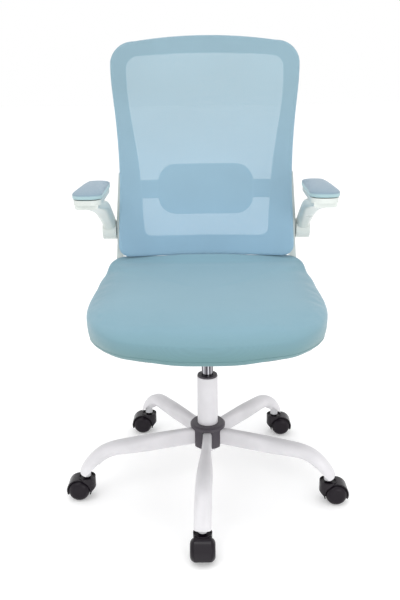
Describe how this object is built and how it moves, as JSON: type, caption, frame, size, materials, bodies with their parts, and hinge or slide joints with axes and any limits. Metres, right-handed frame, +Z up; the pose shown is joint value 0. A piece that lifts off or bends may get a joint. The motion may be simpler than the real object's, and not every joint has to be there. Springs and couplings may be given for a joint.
{
  "type": "swivel office chair",
  "caption": "Task chair with mesh back, lumbar pad, flip-up armrests, padded waterfall seat, gas lift and five-legged castor base.",
  "frame": {"origin": "on the floor, on the column's axis", "axes": "+Z up; the chair faces -Y; +X is on the right of someone looking at its front"},
  "size_m": [0.6747, 0.6456, 1.073],
  "materials": {
    "white_steel": "satin white powder coat",
    "grey_nylon": "moulded",
    "black_plastic": "fine-grained",
    "castor_nylon": "smooth",
    "castor_wheel": "smooth",
    "zinc_steel": "zinc plated",
    "chrome": "polished",
    "black_steel": "black paint",
    "seat_fabric": "woven light blue",
    "white_plastic": "satin moulded",
    "arm_pad": "soft light blue",
    "blue_plastic": "moulded",
    "blue_mesh": "open elastic mesh",
    "lumbar_foam": "fabric-covered foam"
  },
  "bodies": {
    "base": {"leg_front": "white_steel", "leg_right": "white_steel", "leg_rear_right": "white_steel", "leg_rear_left": "white_steel", "leg_left": "white_steel", "castor_sockets": "grey_nylon", "hub_sleeve": "white_steel", "hub_cover": "black_plastic", "lift_tube": "white_steel", "guide_bushing": "black_plastic", "thrust_bearing": "zinc_steel"},
    "castor_front": {"castor_hood_front": "castor_nylon", "castor_pins_front": "zinc_steel"},
    "wheel_a_front": {"castor_wheel_a_front": "castor_wheel"},
    "wheel_b_front": {"castor_wheel_b_front": "castor_wheel"},
    "castor_right": {"castor_hood_right": "castor_nylon", "castor_pins_right": "zinc_steel"},
    "wheel_a_right": {"castor_wheel_a_right": "castor_wheel"},
    "wheel_b_right": {"castor_wheel_b_right": "castor_wheel"},
    "castor_rear_right": {"castor_hood_rear_right": "castor_nylon", "castor_pins_rear_right": "zinc_steel"},
    "wheel_a_rear_right": {"castor_wheel_a_rear_right": "castor_wheel"},
    "wheel_b_rear_right": {"castor_wheel_b_rear_right": "castor_wheel"},
    "castor_rear_left": {"castor_hood_rear_left": "castor_nylon", "castor_pins_rear_left": "zinc_steel"},
    "wheel_a_rear_left": {"castor_wheel_a_rear_left": "castor_wheel"},
    "wheel_b_rear_left": {"castor_wheel_b_rear_left": "castor_wheel"},
    "castor_left": {"castor_hood_left": "castor_nylon", "castor_pins_left": "zinc_steel"},
    "wheel_a_left": {"castor_wheel_a_left": "castor_wheel"},
    "wheel_b_left": {"castor_wheel_b_left": "castor_wheel"},
    "lift_rod": {"piston_rod": "zinc_steel", "retaining_clip": "zinc_steel"},
    "mechanism": {"lift_cylinder": "chrome", "cylinder_gland": "zinc_steel", "mechanism_housing": "black_steel", "mechanism_pins": "zinc_steel", "tilt_springs": "zinc_steel"},
    "release": {"release_pin": "zinc_steel"},
    "rocker": {"lever_rocker": "zinc_steel"},
    "lever": {"lever_rod": "chrome", "lever_paddle": "black_plastic"},
    "knob": {"tension_knob": "black_plastic"},
    "seat": {"seat_plate": "black_steel", "seat_pan": "black_plastic", "seat_cushion": "seat_fabric", "assembly_screws": "zinc_steel", "upright_left": "white_plastic", "upright_right": "white_plastic", "upright_crossbar": "black_steel", "arm_pins": "zinc_steel", "back_frame": "blue_plastic", "back_mesh": "blue_mesh", "lumbar_rail": "blue_plastic"},
    "lumbar": {"lumbar_pad": "lumbar_foam", "lumbar_carrier": "blue_plastic"},
    "arm_l": {"arm_left": "white_plastic", "arm_pad_left": "arm_pad"},
    "arm_r": {"arm_right": "white_plastic", "arm_pad_right": "arm_pad"}
  },
  "joints": [
    {"name": "castor_front_swivel", "type": "hinge", "parent": "base", "child": "castor_front", "pos_m": [-0.01277, -0.30473, 0.06], "axis": [0, 0, 1], "continuous": true},
    {"name": "wheel_a_front_roll", "type": "hinge", "parent": "castor_front", "child": "wheel_a_front", "pos_m": [-0.01277, -0.32273, 0.025], "axis": [1, 0, 0], "continuous": true},
    {"name": "wheel_b_front_roll", "type": "hinge", "parent": "castor_front", "child": "wheel_b_front", "pos_m": [-0.01277, -0.32273, 0.025], "axis": [1, 0, 0], "continuous": true},
    {"name": "castor_right_swivel", "type": "hinge", "parent": "base", "child": "castor_right", "pos_m": [0.28587, -0.10631, 0.06], "axis": [0, 0, 1], "continuous": true},
    {"name": "wheel_a_right_roll", "type": "hinge", "parent": "castor_right", "child": "wheel_a_right", "pos_m": [0.30387, -0.10631, 0.025], "axis": [0, 1, 0], "continuous": true},
    {"name": "wheel_b_right_roll", "type": "hinge", "parent": "castor_right", "child": "wheel_b_right", "pos_m": [0.30387, -0.10631, 0.025], "axis": [0, 1, 0], "continuous": true},
    {"name": "castor_rear_right_swivel", "type": "hinge", "parent": "base", "child": "castor_rear_right", "pos_m": [0.18945, 0.23903, 0.06], "axis": [0, 0, 1], "continuous": true},
    {"name": "wheel_a_rear_right_roll", "type": "hinge", "parent": "castor_rear_right", "child": "wheel_a_rear_right", "pos_m": [0.20745, 0.23903, 0.025], "axis": [0, 1, 0], "continuous": true},
    {"name": "wheel_b_rear_right_roll", "type": "hinge", "parent": "castor_rear_right", "child": "wheel_b_rear_right", "pos_m": [0.20745, 0.23903, 0.025], "axis": [0, 1, 0], "continuous": true},
    {"name": "castor_rear_left_swivel", "type": "hinge", "parent": "base", "child": "castor_rear_left", "pos_m": [-0.16878, 0.25404, 0.06], "axis": [0, 0, 1], "continuous": true},
    {"name": "wheel_a_rear_left_roll", "type": "hinge", "parent": "castor_rear_left", "child": "wheel_a_rear_left", "pos_m": [-0.18678, 0.25404, 0.025], "axis": [0, -1, 0], "continuous": true},
    {"name": "wheel_b_rear_left_roll", "type": "hinge", "parent": "castor_rear_left", "child": "wheel_b_rear_left", "pos_m": [-0.18678, 0.25404, 0.025], "axis": [0, -1, 0], "continuous": true},
    {"name": "castor_left_swivel", "type": "hinge", "parent": "base", "child": "castor_left", "pos_m": [-0.29376, -0.08202, 0.06], "axis": [0, 0, 1], "continuous": true},
    {"name": "wheel_a_left_roll", "type": "hinge", "parent": "castor_left", "child": "wheel_a_left", "pos_m": [-0.31177, -0.08202, 0.025], "axis": [0, -1, 0], "continuous": true},
    {"name": "wheel_b_left_roll", "type": "hinge", "parent": "castor_left", "child": "wheel_b_left", "pos_m": [-0.31177, -0.08202, 0.025], "axis": [0, -1, 0], "continuous": true},
    {"name": "seat_swivel", "type": "hinge", "parent": "base", "child": "lift_rod", "pos_m": [0, 0, 0.1], "axis": [0, 0, 1], "continuous": true},
    {"name": "seat_height", "type": "slide", "parent": "lift_rod", "child": "mechanism", "axis": [0, 0, 1], "range_m": [-0.05, 0.05]},
    {"name": "seat_tilt", "type": "hinge", "parent": "mechanism", "child": "seat", "pos_m": [0, -0.04, 0.388], "axis": [-1, 0, 0], "range_deg": [0, 15], "stiffness_Nm_per_rad": 120, "springref_deg": -14.32},
    {"name": "lever_lift", "type": "hinge", "parent": "mechanism", "child": "rocker", "pos_m": [-0.026, 0, 0.383], "axis": [0, 1, 0], "range_deg": [0, 4], "stiffness_Nm_per_rad": 3, "springref_deg": -2.86},
    {"name": "tilt_lock_slide", "type": "slide", "parent": "rocker", "child": "lever", "axis": [-1, 0, 0], "range_m": [0, 0.01]},
    {"name": "release_press", "type": "slide", "parent": "mechanism", "child": "release", "axis": [0, 0, -1], "range_m": [0, 0.00182]},
    {"name": "knob_turn", "type": "hinge", "parent": "mechanism", "child": "knob", "pos_m": [0, -0.09, 0.374], "axis": [0, -1, 0], "continuous": true},
    {"name": "lumbar_height", "type": "slide", "parent": "seat", "child": "lumbar", "axis": [0, 0.0458, 0.999], "range_m": [-0.02, 0.02]},
    {"name": "arm_left_flip", "type": "hinge", "parent": "seat", "child": "arm_l", "pos_m": [-0.249, 0.22, 0.6], "axis": [-1, 0, 0], "range_deg": [0, 90]},
    {"name": "arm_right_flip", "type": "hinge", "parent": "seat", "child": "arm_r", "pos_m": [0.249, 0.22, 0.6], "axis": [-1, 0, 0], "range_deg": [0, 90]}
  ],
  "couplings": [
    {"joint": "release_press", "follows": "lever_lift", "m_per_rad": 0.026}
  ]
}
